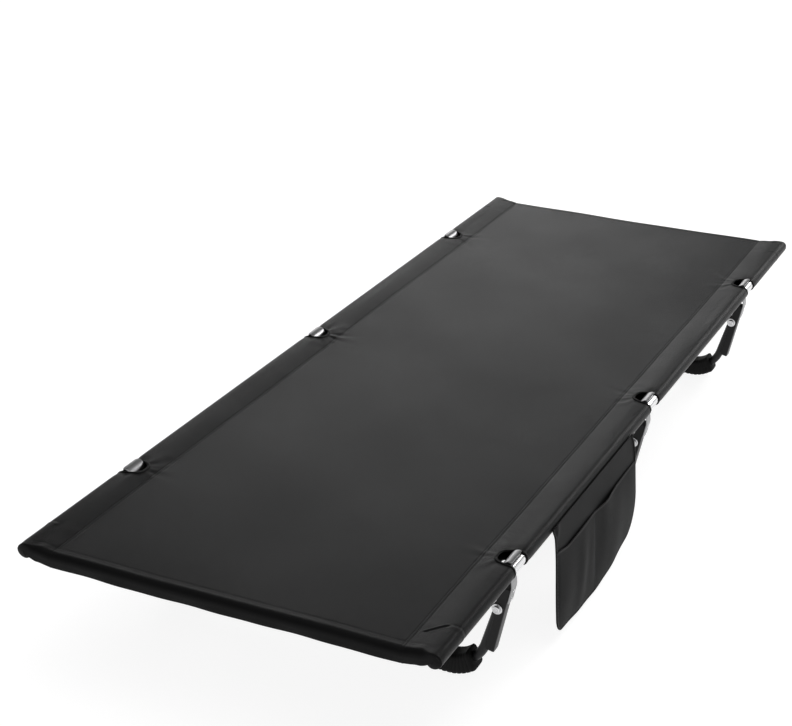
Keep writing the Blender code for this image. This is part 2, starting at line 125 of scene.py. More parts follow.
# The room's light by height: bright walls, a dim band above them and a bright ceiling.
# Each stop is (sine of the height angle, share of full light).
world = bpy.data.worlds.new("studio")
world.use_nodes = True
studio_tree = world.node_tree
background = studio_tree.nodes["Background"]
direction = add_node(studio_tree, "TexCoord").outputs["Generated"]
parts = add_node(studio_tree, "SeparateXYZ", links={"Vector": direction})
by_height = add_node(studio_tree, "ValToRGB", links={"Fac": parts.outputs["Z"]})
while len(by_height.color_ramp.elements) < 6:
    by_height.color_ramp.elements.new(0.5)
band_light = ((0.00, 1.0), (0.24, 0.95), (0.42, 0.13), (0.78, 0.13), (0.93, 0.75), (1.0, 0.85))
for stop, (height, grey) in zip(by_height.color_ramp.elements, band_light):
    stop.position = height
    stop.color = (grey, grey, grey, 1.0)
studio_tree.links.new(by_height.outputs["Color"], background.inputs["Color"])
background.inputs["Strength"].default_value = 0.9
bpy.context.scene.world = world


def soft_box(name, place, aim, width, height, power):
    """A rectangular area light at place, turned towards aim."""
    light = bpy.data.lights.new(name, 'AREA')
    light.shape = 'RECTANGLE'
    light.size, light.size_y, light.energy = width, height, power
    lamp = bpy.data.objects.new(name, light)
    lamp.location = place
    away = np.array(place) - np.array(aim)
    lamp.rotation_euler = Vector(away).to_track_quat('Z', 'Y').to_euler()
    bpy.context.scene.collection.objects.link(lamp)


soft_box("top_light", (0.6, 0.4, 3.2), (0, 0, 0.2), 3.0, 3.0, 20)
soft_box("back_light", (-2.3, 4.2, 1.5), (0, 0.5, 0.2), 2.8, 1.5, 24)
soft_box("rim_light", (1.5, 4.0, 2.2), (0, 0, 0.2), 1.3, 1.1, 50)
soft_box("side_light", (3.2, -1.2, 1.1), (0.2, -0.2, 0.1), 1.4, 1.4, 5)


# ---------------------------------------------------------------------------
# Side rails: 20 mm drawn aluminium tube in four butted lengths, left bright.  The
# lengths slide together on inner ferrules and an elastic cord keeps them in order.
# ---------------------------------------------------------------------------
def grid_faces(rows, columns, wrap_rows=False, wrap_columns=False, start=0):
    """Quads over a grid of points stored row by row.  A wrapped direction also joins
    its last line of points to its first."""
    row = np.arange(rows if wrap_rows else rows - 1)[:, None]
    column = np.arange(columns if wrap_columns else columns - 1)[None, :]
    next_row = (row + 1) % rows
    next_column = (column + 1) % columns
    quads = np.stack([row * columns + column, row * columns + next_column,
                      next_row * columns + next_column, next_row * columns + column], -1)
    return (quads.reshape(-1, 4) + start).tolist()


def make_piece(name, points, faces, finish, cloth_uv=None, closed=True, sharp=40):
    """Puts an array of points and its faces into a smooth mesh at the origin.  A closed
    piece has its faces turned outward."""
    mesh = bpy.data.meshes.new(name)
    mesh.from_pydata(np.reshape(points, (-1, 3)).tolist(), [], faces)
    if cloth_uv is not None:
        corner = np.empty(len(mesh.loops), np.int32)
        mesh.loops.foreach_get("vertex_index", corner)
        layer = mesh.uv_layers.new(name="cloth")
        layer.uv.foreach_set("vector", np.reshape(cloth_uv, (-1, 2))[corner].ravel())
    if closed:
        shaped = bmesh.new()
        shaped.from_mesh(mesh)
        bmesh.ops.recalc_face_normals(shaped, faces=shaped.faces)
        shaped.to_mesh(mesh)
        shaped.free()
    mesh.materials.append(finish)
    mesh.shade_smooth()
    mesh.set_sharp_from_angle(angle=math.radians(sharp))
    piece = bpy.data.objects.new(name, mesh)
    bpy.context.scene.collection.objects.link(piece)
    return piece


def turned_about_y(stations, centre_x, centre_z, sides):
    """Grid of a profile turned about a line along Y: a row for each (y, radius), and
    columns at equal angles, x = radius cos, z = radius sin."""
    stations = np.array(stations, float)
    angle = np.arange(sides) * 2 * math.pi / sides
    y = np.repeat(stations[:, :1], sides, 1)
    return np.stack([centre_x + stations[:, 1:] * np.cos(angle), y,
                     centre_z + stations[:, 1:] * np.sin(angle)], -1)


def shade_by(tree, shader, value, colour, seen, shown):
    """Base colour scaled by a value whose range seen is mapped to the range shown."""
    tint = add_node(tree, "MapRange", {"From Min": seen[0], "From Max": seen[1],
                                       "To Min": shown[0], "To Max": shown[1]},
                    {"Value": value})
    shade = add_node(tree, "VectorMath", {0: colour}, {"Scale": tint.outputs["Result"]},
                     operation='SCALE')
    tree.links.new(shade.outputs["Vector"], shader.inputs["Base Color"])


def roughen_by(tree, shader, value, low, high):
    """Roughness that runs from low to high with a value."""
    rough = add_node(tree, "MapRange", {"To Min": low, "To Max": high}, {"Value": value})
    tree.links.new(rough.outputs["Result"], shader.inputs["Roughness"])


def raise_by(tree, shader, value, strength, depth):
    """A bump from a value."""
    bump = add_node(tree, "Bump", {"Strength": strength, "Distance": depth},
                    {"Height": value})
    tree.links.new(bump.outputs["Normal"], shader.inputs["Normal"])


def drawn_metal(name, colour, roughness, streak, contrast):
    """Metal with drawing lines along Y: noise stretched along the tube shifts its
    colour and roughness, and raises a fine bump."""
    made, tree, shader = new_material(name, colour, roughness, 1.0)
    where = add_node(tree, "TexCoord").outputs["Object"]
    stretch = add_node(tree, "Mapping", {"Scale": (streak, streak * 0.01, streak)},
                       {"Vector": where})
    noise = add_node(tree, "TexNoise", {"Scale": 1.0, "Detail": 4.0},
                     {"Vector": stretch.outputs["Vector"]}).outputs["Fac"]
    shade_by(tree, shader, noise, colour, (0.3, 0.7), (1.0 - contrast, 1.0))
    roughen_by(tree, shader, noise, roughness * 1.25, roughness * 0.8)
    raise_by(tree, shader, noise, 0.25, 0.0002)
    return made


bright_metal = drawn_metal("bright_metal", (0.84, 0.84, 0.85), 0.20, 900.0, 0.30)
rail_wall = 0.0012
for side, word in ((-1, "left"), (1, "right")):
    for number in (1, 2, 3, 4):
        node = f"rail_tube_{word}_{number}"
        low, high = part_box(node)
        edge = 0.0004
        section = [(low.y, rail_radius - edge), (low.y + edge, rail_radius),
                   (high.y - edge, rail_radius), (high.y, rail_radius - edge),
                   (high.y, rail_radius - rail_wall), (low.y, rail_radius - rail_wall)]
        wall = turned_about_y(section, bed_x + side * rail_out, rail_z, 48)
        tube = make_piece(f"rail_{word}_{number}", wall, grid_faces(6, 48, True, True),
                          bright_metal)
        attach(tube, "frame")
        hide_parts(node)


def moulded_black(name, colour, roughness, grain, depth):
    """Black moulded plastic or rubber: fine noise in colour, roughness and height."""
    made, tree, shader = new_material(name, colour, roughness)
    shader.inputs["Specular IOR Level"].default_value = 0.16
    where = add_node(tree, "TexCoord").outputs["Object"]
    noise = add_node(tree, "TexNoise", {"Scale": grain, "Detail": 3.0},
                     {"Vector": where}).outputs["Fac"]
    shade_by(tree, shader, noise, colour, (0.0, 1.0), (0.75, 1.3))
    roughen_by(tree, shader, noise, roughness * 0.85, min(roughness * 1.2, 1.0))
    raise_by(tree, shader, noise, 0.3, depth)
    return made


# Plugs, ferrules and elastic cord stay as they are inside the tubes.
black_plastic = moulded_black("black_plastic", (0.016, 0.016, 0.016), 0.5, 900.0, 0.0001)
braid = moulded_black("braided_elastic", (0.02, 0.02, 0.02), 0.85, 2500.0, 0.0002)


def refinish(start, finish):
    """Puts a new finish on every carried-over piece whose name begins with start."""
    for name, node in frame["nodes"].items():
        if name.startswith(start):
            node.data.materials.clear()
            node.data.materials.append(finish)


refinish("rail_ferrule", bright_metal)
refinish("rail_cap", black_plastic)
refinish("rail_cord", braid)


# ---------------------------------------------------------------------------
# Bed sheet: one piece of black woven polyester, stretched over the two rails and
# sewn back on itself as a sleeve closed at the rail tips.  Each end is turned down
# over webbing, and a bound notch lets every leg hook reach its rail.
# ---------------------------------------------------------------------------
sleeve_radius = 0.0124                 # outside of the cloth round the rail
sleeve_wrap = math.radians(204)        # from the rail's top round to the underside
seam_inset = 0.048
seam_sink = 0.0050                     # how far the seam lies under the sleeve's top
seam_width = 0.0045                    # between the two stitch lines
sheet_end = 0.9374                     # where the sheet starts to roll down
hem_bend = 0.0115                      # radius of the roll
hem_drop = 0.0105
hem_turn = 0.0016                      # radius of the fold at the hem's lower edge
hem_return = 0.0095
tip_end = 0.9462                       # where the cloth closes over a rail's tip
tip_dome = 0.0032
hem_row = 0.0110                       # from the hem's stitches to the roll
hem_girth = hem_bend * math.pi / 2 + hem_drop + hem_turn * math.pi + hem_return
cloth_thickness = 0.0007
closing_seam_y = 0.866                 # seam that closes the sleeve near the rail's tip
leg_y = (-0.65, 0.0, 0.65)
notch_half = 0.0235
notch_reach = 0.0270                   # inboard of the rail's centre
notch_power = 3.0
return_length = 0.0430                 # from the sleeve's underside back to the seam
girth_out = rail_out + sleeve_radius * sleeve_wrap
half_cloth = girth_out + return_length
notch_centre = rail_out + sleeve_radius * math.pi / 2
notch_depth = notch_centre - (rail_out - notch_reach)


def smooth_step(value, low, high):
    """Zero below low, one above high, and the cubic 3t^2 - 2t^3 between."""
    t = np.clip((value - low) / (high - low), 0.0, 1.0)
    return t * t * (3.0 - 2.0 * t)


def bump_at(value, middle, width):
    """A Gaussian hump of height one."""
    return np.exp(-((value - middle) / width) ** 2)


def notch_creases(out, side, y):
    """Creases that fan out of each notch where the hook pulls the cloth: sine waves of
    the angle about the notch, dying out with distance."""
    height = 0.0
    for number, middle in enumerate(leg_y):
        for hand in (-1, 1):
            near = np.where(side == hand, 1.0, 0.0)
            inboard = rail_out - notch_reach - out
            angle = np.arctan2(y - middle, inboard + 0.014)
            reach = np.hypot(y - middle, inboard + 0.014)
            folds = (np.sin(7.0 * angle + 1.3 * hand + 2.1 * number)
                     + 0.7 * np.sin(12.0 * angle + 0.7 * number + hand))
            fade = np.exp(-((reach - 0.014) / 0.045) ** 2) * smooth_step(reach, 0.012, 0.032)
            pull = 0.00030 * (1.5 if number == 1 and hand < 0 else 1.0)
            height = height + near * pull * folds * fade
            lift = bump_at(y, middle, 0.045) * bump_at(inboard, 0.0, 0.030)
            height = height + near * 0.0008 * lift
    return height


def corner_puckers(out, side, y):
    """The seam that closes each sleeve near the rail's tip, with gathers beside it, and
    the crumpled cloth of the corner."""
    ring = np.abs(y) - closing_seam_y
    edge = smooth_step(out, rail_out - 0.014, rail_out - 0.004)
    height = -0.0004 * bump_at(ring, 0.0, 0.0022) * edge
    height = height + 0.0003 * bump_at(ring, 0.006, 0.0040) * edge
    gathers = np.sin(420.0 * out + 60.0 * y) * bump_at(ring, 0.006, 0.012)
    height = height + 0.00028 * gathers * smooth_step(out, rail_out - 0.030, rail_out)
    corner = smooth_step(out, rail_out - 0.060, rail_out - 0.020)
    crumple = np.sin(260.0 * out + 1.0 + 3.0 * side) * np.sin(190.0 * y)
    height = height + 0.0004 * crumple * smooth_step(np.abs(y), 0.912, 0.940) * corner
    return height


def slit_relief(across, y):
    """A short slanted slit in the sheet near its near right corner."""
    slope = math.radians(43)
    from_x, from_y, length = 0.305, -0.895, 0.0407
    along = (across - from_x) * math.cos(slope) + (y - from_y) * math.sin(slope)
    off = (y - from_y) * math.cos(slope) - (across - from_x) * math.sin(slope)
    held = smooth_step(along, -0.002, 0.004) * (1 - smooth_step(along, length - 0.006, length))
    return held * (-0.0016 * bump_at(off, 0.0, 0.0012) + 0.0010 * bump_at(off, 0.0028, 0.0014))


def sheet_relief(across, y):
    """Height of the cloth over its plain shape: a slight hang between the rails, broad
    slack waves, pressed stitch lines, end rolls, creases and puckers."""
    out = np.abs(across)
    side = np.sign(across)
    inside = 1.0 - smooth_step(out, rail_out - 0.02, rail_out)
    hang = -0.0014 * (1.0 - (out / rail_out) ** 2)
    waves = (0.00060 * np.sin(7.1 * y + 3.0 * across + 0.4)
             + 0.00045 * np.sin(17.3 * across - 4.3 * y + 1.7)
             + 0.00035 * np.sin(19.0 * y + 9.0 * across)
             + 0.00028 * np.sin(31.0 * across + 12.0 * y + 0.9))
    height = inside * (hang + waves)
    for line in (seam_inset, seam_inset + seam_width):
        height = height - 0.00035 * bump_at(out, rail_out - line, 0.0010)
    seam_pulls = np.sin(150.0 * y + 6.0 * np.sin(23.0 * y)) * bump_at(out, rail_out - 0.040, 0.014)
    height = height + 0.00012 * seam_pulls
    height = height + 0.0003 * bump_at(np.abs(y), sheet_end - 0.0005, 0.0032) * inside
    height = height - 0.00035 * bump_at(np.abs(y), sheet_end - hem_row, 0.0012) * inside
    height = height + inside * notch_creases(out, side, y) + corner_puckers(out, side, y)
    return height + slit_relief(across, y)


def sheet_surface(across, v):
    """Point of the cloth at a distance across from the centre line and v along: flat to
    the seam, up a sine to the rail, round it by an arc, then straight back under to the
    seam.  Past the sheet's end it rolls down as a hem and closes over the rail tips."""
    across, v = np.broadcast_arrays(np.asarray(across, float), np.asarray(v, float))
    out = np.abs(across)
    hand = np.where(across < 0, -1.0, 1.0)
    end = np.where(v < 0, -1.0, 1.0)
    y = np.clip(v, -sheet_end, sheet_end)
    past = np.abs(v) - np.abs(y)
    neck = 0.0
    for middle in leg_y:
        neck = neck + bump_at(np.maximum(np.abs(y - middle) - notch_half, 0.0), 0.0, 0.013)
    radius = sleeve_radius - 0.0011 * neck
    turn = np.clip((out - rail_out) / sleeve_radius, 0.0, sleeve_wrap)
    angle = math.pi / 2 - turn
    back = np.clip(out - girth_out, 0.0, None)
    top = sleeve_radius + (radius - sleeve_radius) * smooth_step(out, rail_out - 0.04, rail_out)
    climb = np.sin(np.clip((out - rail_out + seam_inset) / seam_inset, 0, 1) * math.pi / 2)
    top = top - seam_sink * (1 - climb)
    lifted = np.where(out > rail_out, radius, top) + sheet_relief(across, y)
    x = np.minimum(out, rail_out) + lifted * np.cos(angle) + back * np.sin(angle)
    z = lifted * np.sin(angle) - back * np.cos(angle)

    to_tip = smooth_step(out, rail_out - 0.022, rail_out - 0.003) * (1 - smooth_step(back, 0, 0.02))
    stretch = (tip_end - sheet_end) * to_tip * smooth_step(np.abs(y), sheet_end - 0.034, sheet_end)
    bend = np.clip(past / hem_bend, 0, math.pi / 2)
    straight = np.clip(past - hem_bend * math.pi / 2, 0, hem_drop)
    fold_past = past - hem_bend * math.pi / 2 - hem_drop
    fold = np.clip(fold_past / hem_turn, 0, math.pi)
    rise = np.clip(fold_past - hem_turn * math.pi, 0, None)
    low = straight / hem_drop
    ripple = (0.0007 * np.sin(34.0 * across + 0.8) + 0.0005 * np.sin(71.0 * across + 2.0)) * low
    hem_y = hem_bend * np.sin(bend) - hem_turn * (1 - np.cos(fold)) + ripple
    hem_z = -hem_bend * (1 - np.cos(bend)) - straight - hem_turn * np.sin(fold) + rise
    closing = np.clip(past / (0.6 * hem_girth), 0, 1) * math.radians(88)
    tip_x = rail_out + (x - rail_out) * np.cos(closing)
    tip_z = z * np.cos(closing)
    tip_y = tip_dome * np.sin(closing)
    at_tip = smooth_step(out, rail_out - 0.022, rail_out - 0.003)
    x = x + (tip_x - x) * at_tip
    z = z + hem_z * (1 - at_tip) + (tip_z - z) * at_tip
    y = y + end * (stretch + hem_y * (1 - at_tip) + tip_y * at_tip)
    return np.stack([bed_x + hand * x, y, rail_z + z], -1)


def sheet_normal(across, v):
    """Outward unit normal of the cloth, from small steps across and along it."""
    step = 0.0004
    run = sheet_surface(across + step, v) - sheet_surface(across - step, v)
    rise = sheet_surface(across, v + step) - sheet_surface(across, v - step)
    normal = np.cross(run, rise)
    return normal / np.linalg.norm(normal, axis=-1, keepdims=True)


def spaced(marks, steps):
    """Values from mark to mark, each stretch cut into equal steps of about its size."""
    stretches = [np.linspace(a, b, max(int(round((b - a) / step)), 1), endpoint=False)
                 for a, b, step in zip(marks[:-1], marks[1:], steps)]
    return np.concatenate(stretches + [np.array([marks[-1]])])


seam_line = rail_out - seam_inset
across_side = spaced([0.0, seam_line - 0.060, seam_line - 0.012, seam_line + 0.002,
                      half_cloth - 0.020, half_cloth], [0.010, 0.004, 0.0009, 0.0021, 0.005])
across_line = np.concatenate([-across_side[:0:-1], across_side])
fine = 0.062
hem_marks = [sheet_end - 0.006, sheet_end, sheet_end + hem_bend * math.pi / 2,
             sheet_end + hem_girth]
marks = [-value for value in hem_marks[::-1]] + [-0.860]
steps = [0.0016, 0.0017, 0.0016, 0.0020]
for middle in leg_y:
    marks += [middle - fine, middle + fine]
    steps += [0.009, 0.0025]
marks += [0.860] + hem_marks
steps += [0.009, 0.0020, 0.0016, 0.0017, 0.0016]
along_line = spaced(marks, steps)
across, along = np.meshgrid(across_line, along_line)
inside_any = np.zeros(across.shape, bool)
for middle in leg_y:
    offset_out = np.abs(across) - notch_centre
    offset_y = along - middle
    size = (np.abs(offset_out / notch_depth) ** notch_power
            + np.abs(offset_y / notch_half) ** notch_power) ** (1 / notch_power)
    inside = size < 1.0
    grow = np.where(inside, 1.0 / np.maximum(size, 0.2), 1.0)
    across = np.where(inside, np.sign(across) * (notch_centre + offset_out * grow), across)
    along = np.where(inside, middle + offset_y * grow, along)
    inside_any |= inside
quads = np.array(grid_faces(*across.shape))
quads = quads[~inside_any.ravel()[quads].all(1)]
used, compact = np.unique(quads, return_inverse=True)
quads = compact.reshape(-1, 4)
sheet_points = sheet_surface(across, along).reshape(-1, 3)[used]
sheet_uv = np.stack([across, along], -1).reshape(-1, 2)[used]


def wave_along(tree, distance, length):
    """Sine of a socket's distance, with one wave in each length."""
    turns = add_node(tree, "Math", {1: 2 * math.pi / length}, {0: distance},
                     operation='MULTIPLY').outputs["Value"]
    return add_node(tree, "Math", links={0: turns}, operation='SINE').outputs["Value"]


def woven_cloth(name, colour, roughness, thread, sheen, mottle):
    """Plain woven cloth on its own UV map in metres: two crossed sine waves raise the
    threads, and slow noise shifts the colour as handling marks do."""
    made, tree, shader = new_material(name, colour, roughness)
    shader.inputs["Sheen Weight"].default_value = sheen
    shader.inputs["Sheen Roughness"].default_value = 0.5
    shader.inputs["Specular IOR Level"].default_value = 0.07
    where = add_node(tree, "UVMap", uv_map="cloth").outputs["UV"]
    split = add_node(tree, "SeparateXYZ", links={"Vector": where})
    warp = wave_along(tree, split.outputs["X"], thread)
    weft = wave_along(tree, split.outputs["Y"], thread)
    weave = add_node(tree, "Math", links={0: warp, 1: weft}, operation='MULTIPLY')
    noise = add_node(tree, "TexNoise", {"Scale": 9.0, "Detail": 5.0},
                     {"Vector": where}).outputs["Fac"]
    run = add_node(tree, "Mapping", {"Scale": (1400.0, 60.0, 1.0)}, {"Vector": where})
    slub = add_node(tree, "TexNoise", {"Scale": 1.0, "Detail": 3.0},
                    {"Vector": run.outputs["Vector"]})
    both = add_node(tree, "Math", {1: 0.35}, {0: slub.outputs["Fac"], 2: noise},
                    operation='MULTIPLY_ADD').outputs["Value"]
    shade_by(tree, shader, both, colour, (0.35, 1.0), (1.0 - mottle, 1.0 + mottle))
    roughen_by(tree, shader, noise, roughness - 0.06, roughness + 0.06)
    raise_by(tree, shader, weave.outputs["Value"], 0.35, thread * 0.12)
    return made


def thicken_cloth(piece, thickness, offset):
    """Gives a cloth surface its thickness."""
    change = piece.modifiers.new("thickness", 'SOLIDIFY')
    change.thickness = thickness
    change.offset = offset


bed_cloth = woven_cloth("bed_cloth", (0.0055, 0.0055, 0.0057), 0.37, 0.0007, 0.01, 0.12)
sheet = make_piece("bed_cloth_sheet", sheet_points, quads.tolist(), bed_cloth, sheet_uv,
                   closed=False, sharp=60)
thicken_cloth(sheet, cloth_thickness, -1.0)
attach(sheet, "frame")
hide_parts("bed_sheet")

# A strip of webbing lies in each end hem.
webbing = moulded_black("webbing", (0.012, 0.012, 0.012), 0.8, 1800.0, 0.0002)
webbing_half = rail_out - seam_inset
webbing_thickness = 0.0010
webbing_top = rail_z + sleeve_radius - seam_sink - 0.0070
webbing_drop = 0.0075
strip_faces = [(0, 1, 2, 3), (4, 5, 6, 7), (0, 1, 5, 4), (1, 2, 6, 5), (2, 3, 7, 6), (3, 0, 4, 7)]
for end, word in ((-1, "near"), (1, "far")):
    outer_y = end * (sheet_end + hem_bend - 0.0022)
    corners = [(bed_x + a * webbing_half, outer_y - end * b * webbing_thickness, c)
               for c in (webbing_top - webbing_drop, webbing_top)
               for a, b in ((-1, 0), (1, 0), (1, 1), (-1, 1))]
    strip = make_piece(f"hem_webbing_{word}", corners, strip_faces, webbing)
    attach(strip, "frame")
    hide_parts(f"end_webbing_{word}")


# Folded black tape bound over the edge of each notch.
binding_tape = woven_cloth("binding_tape", (0.0035, 0.0035, 0.0035), 0.5, 0.0011, 0.02, 0.15)


def edge_tape(name, path, outward, half_width, half_thick, shift, finish, closed=True):
    """Folded tape sewn over a cloth edge: an oval of half_width by half_thick carried
    along the path, its middle moved outward from the edge by shift."""
    tangent = np.roll(path, -1, 0) - np.roll(path, 1, 0)
    if not closed:
        tangent[0], tangent[-1] = path[1] - path[0], path[-1] - path[-2]
    tangent /= np.linalg.norm(tangent, axis=1, keepdims=True)
    outward = outward - tangent * (outward * tangent).sum(1, keepdims=True)
    outward /= np.linalg.norm(outward, axis=1, keepdims=True)
    normal = np.cross(tangent, outward)
    turn = np.arange(12) * 2 * math.pi / 12
    grid = (path[:, None] + outward[:, None] * (shift + half_width * np.cos(turn))[None, :, None]
            + normal[:, None] * (half_thick * np.sin(turn))[None, :, None])
    length = np.cumsum(np.linalg.norm(path - np.roll(path, 1, 0), axis=1))
    girth = turn / (2 * math.pi) * 4 * half_width
    uv = np.stack(np.broadcast_arrays(girth[None, :], length[:, None]), -1)
    faces = grid_faces(len(path), 12, closed, True)
    if not closed:
        last = 12 * (len(path) - 1)
        faces += [list(range(12))[::-1], list(range(last, last + 12))]
    return make_piece(name, grid, faces, finish, uv)


def notch_edge(middle, hand, scale):
    """The notch's rounded outline on the cloth, |a|^n + |b|^n = 1, grown by scale."""
    turn = np.linspace(0, 2 * math.pi, 96, endpoint=False)
    power = 2 / notch_power
    out = notch_centre + scale * notch_depth * np.sign(np.cos(turn)) * np.abs(np.cos(turn)) ** power
    y = middle + scale * notch_half * np.sign(np.sin(turn)) * np.abs(np.sin(turn)) ** power
    return hand * out, y


for number, middle in enumerate(leg_y, 1):
    for hand, word in ((-1, "left"), (1, "right")):
        edge = sheet_surface(*notch_edge(middle, hand, 1.0))
        wider = sheet_surface(*notch_edge(middle, hand, 1.05))
        tape = edge_tape(f"notch_binding_{word}_{number}", edge, wider - edge, 0.0027, 0.0012,
                         0.0014, binding_tape)
        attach(tape, "frame")

# Black thread: a double row along each sleeve seam, one row in each end hem, and one
# round every notch binding.
thread, thread_tree, thread_shader = new_material("sewing_thread", (0.030, 0.030, 0.031), 0.6)
thread_where = add_node(thread_tree, "TexCoord").outputs["Object"]
twist = add_node(thread_tree, "TexNoise", {"Scale": 4000.0}, {"Vector": thread_where})
raise_by(thread_tree, thread_shader, twist.outputs["Fac"], 1.0, 0.0001)


def sew(name, starts, ends, normals, body, half_width=0.00035):
    """Raised thread over each stitch from starts to ends: five rings of six points,
    fullest in the middle, dipping into the cloth at both ends."""
    starts, ends, normals = (np.asarray(value, float) for value in (starts, ends, normals))
    run = ends - starts
    aside = np.cross(run, normals)
    aside /= np.linalg.norm(aside, axis=1, keepdims=True)
    step = np.linspace(0, 1, 5)
    swell = np.sin(np.pi * (0.08 + 0.84 * step))
    turn = np.arange(6) * math.pi / 3
    spine = starts[:, None] + run[:, None] * step[None, :, None]
    spine = spine + normals[:, None] * (0.00035 * swell - 0.0001)[None, :, None]
    ring = (aside[:, None, None] * (np.cos(turn) * half_width)[None, None, :, None]
            + normals[:, None, None] * (np.sin(turn) * half_width)[None, None, :, None])
    points = spine[:, :, None] + ring * swell[None, :, None, None]
    one = np.array(grid_faces(5, 6, wrap_columns=True))
    first = 30 * np.arange(len(starts))[:, None]
    faces = (one[None] + first[:, :, None]).reshape(-1, 4).tolist()
    cap = np.arange(6)[None] + first
    faces += cap[:, ::-1].tolist() + (cap + 24).tolist()
    piece = make_piece(name, points, faces, thread)
    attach(piece, body)
    return piece


def stitch_marks(length, pitch, share=0.72):
    """Where stitches begin and end along a seam from 0 to length."""
    count = max(int(length / pitch), 1)
    begin = (np.arange(count) + 0.14) * length / count
    return begin, begin + share * length / count


starts, ends, normals = [], [], []
begin, finish_at = stitch_marks(2 * (sheet_end - 0.012), 0.0042)
begin, finish_at = begin - sheet_end + 0.012, finish_at - sheet_end + 0.012
for hand in (-1, 1):
    for line in (seam_inset, seam_inset + seam_width):
        row = hand * (rail_out - line) * np.ones(len(begin))
        starts.append(sheet_surface(row, begin))
        ends.append(sheet_surface(row, finish_at))
        normals.append(sheet_normal(row, (begin + finish_at) / 2))
begin, finish_at = stitch_marks(2 * seam_line, 0.0042)
for end in (-1, 1):
    row = end * (sheet_end - hem_row) * np.ones(len(begin))
    starts.append(sheet_surface(begin - seam_line, row))
    ends.append(sheet_surface(finish_at - seam_line, row))
    normals.append(sheet_normal((begin + finish_at) / 2 - seam_line, row))
for middle in leg_y:
    for hand in (-1, 1):
        out, y = notch_edge(middle, hand, 1.0)
        wide_out, wide_y = notch_edge(middle, hand, 1.05)
        away = sheet_surface(wide_out, wide_y) - sheet_surface(out, y)
        away /= np.linalg.norm(away, axis=1, keepdims=True)
        ring_normal = sheet_normal(wide_out, wide_y)
        ring = sheet_surface(out, y) + 0.0028 * away + 0.0011 * ring_normal
        next_ring = np.roll(ring, -1, 0)
        starts.append(ring + 0.15 * (next_ring - ring))
        ends.append(next_ring - 0.15 * (next_ring - ring))
        normals.append(ring_normal)
sew("sheet_stitching", np.concatenate(starts), np.concatenate(ends),
                 np.concatenate(normals), "frame")


# ---------------------------------------------------------------------------
# Legs: each is a bow of 16 mm black tube in two halves on an inner ferrule, bent up at
# both ends to carry the levers.
# ---------------------------------------------------------------------------
rivet_low, rivet_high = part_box("pivot_rivet_right_2")
pivot_out = (rivet_low.x + rivet_high.x) / 2 - bed_x
pivot_z = (rivet_low.z + rivet_high.z) / 2
bow_radius = 0.008
bow_lean = math.radians(15.8)
bow_bend = 0.060
bow_top = 0.0045
belly_rise = math.radians(8.0)
sole_depth = 0.0100
sole_flat = math.radians(6)
bend_z = (bow_bend + bow_radius + sole_depth) * math.cos(sole_flat)
bow_straight = (pivot_z + bow_bend * math.sin(bow_lean) - bend_z) / math.cos(bow_lean)
bend_x = pivot_out - bow_straight * math.sin(bow_lean) - bow_bend * math.cos(bow_lean)


def bar_along(name, side, y, centre, normal, half_width, half_thick, power, finish, sides=24):
    """Closed bar about the plane at y: round each (out, z) centre goes the outline
    |a/w|^n + |b/t|^n = 1 with a along Y and b along the normal.  Flat ends."""
    turn = np.arange(sides) * 2 * math.pi / sides
    a = np.sign(np.cos(turn)) * np.abs(np.cos(turn)) ** (2 / power)
    b = np.sign(np.sin(turn)) * np.abs(np.sin(turn)) ** (2 / power)
    centre, normal = np.asarray(centre, float), np.asarray(normal, float)
    rows = len(centre)
    half_width = np.broadcast_to(half_width, rows)[:, None]
    half_thick = np.broadcast_to(half_thick, rows)[:, None]
    out = centre[:, :1] + normal[:, :1] * half_thick * b
    z = centre[:, 1:] + normal[:, 1:] * half_thick * b
    points = np.stack([bed_x + side * out, y + half_width * a, z], -1)
    last = (rows - 1) * sides
    faces = grid_faces(rows, sides, False, True)
    faces += [list(range(sides))[::-1], list(range(last, last + sides))]
    return make_piece(name, points, faces, finish)


def path_normals(centre):
    """Unit normals of a planar path, a quarter turn left of its direction."""
    run = np.gradient(centre, axis=0)
    run /= np.linalg.norm(run, axis=1, keepdims=True)
    return np.stack([-run[:, 1], run[:, 0]], -1)


def rounded_ends(centre, radius):
    """Share of full size at each point of a path, a quarter circle at either end."""
    length = np.concatenate([[0], np.cumsum(np.linalg.norm(np.diff(centre, axis=0), axis=1))])
    near = np.minimum(length, length[-1] - length) / radius
    return np.sqrt(1 - (1 - np.clip(near, 0, 1)) ** 2 * 0.999)


down = np.array([-math.sin(bow_lean), -math.cos(bow_lean)])
top_point = np.array([pivot_out, pivot_z]) - bow_top * down
straight_run = top_point + np.linspace(0, bow_straight + bow_top, 14)[:-1, None] * down
bend_angle = np.linspace(-bow_lean, -math.pi / 2 - belly_rise, 30)
bend_run = np.stack([bend_x + bow_bend * np.cos(bend_angle),
                     bend_z + bow_bend * np.sin(bend_angle)], -1)
bend_end = bend_run[-1]
belly_radius = bend_end[0] / math.sin(belly_rise)
belly_angle = np.linspace(belly_rise, 0.0002, 16)[1:]
belly_top = bend_end[1] + belly_radius * (1 - math.cos(belly_rise))
belly_run = np.stack([belly_radius * np.sin(belly_angle),
                      belly_top - belly_radius * (1 - np.cos(belly_angle))], -1)
bow_line = np.concatenate([straight_run, bend_run, belly_run])
satin_black = drawn_metal("satin_black_tube", (0.014, 0.014, 0.015), 0.40, 700.0, 0.2)
satin_shader = satin_black.node_tree.nodes["Principled BSDF"]
satin_shader.inputs["Metallic"].default_value = 0.2
satin_shader.inputs["Specular IOR Level"].default_value = 0.25
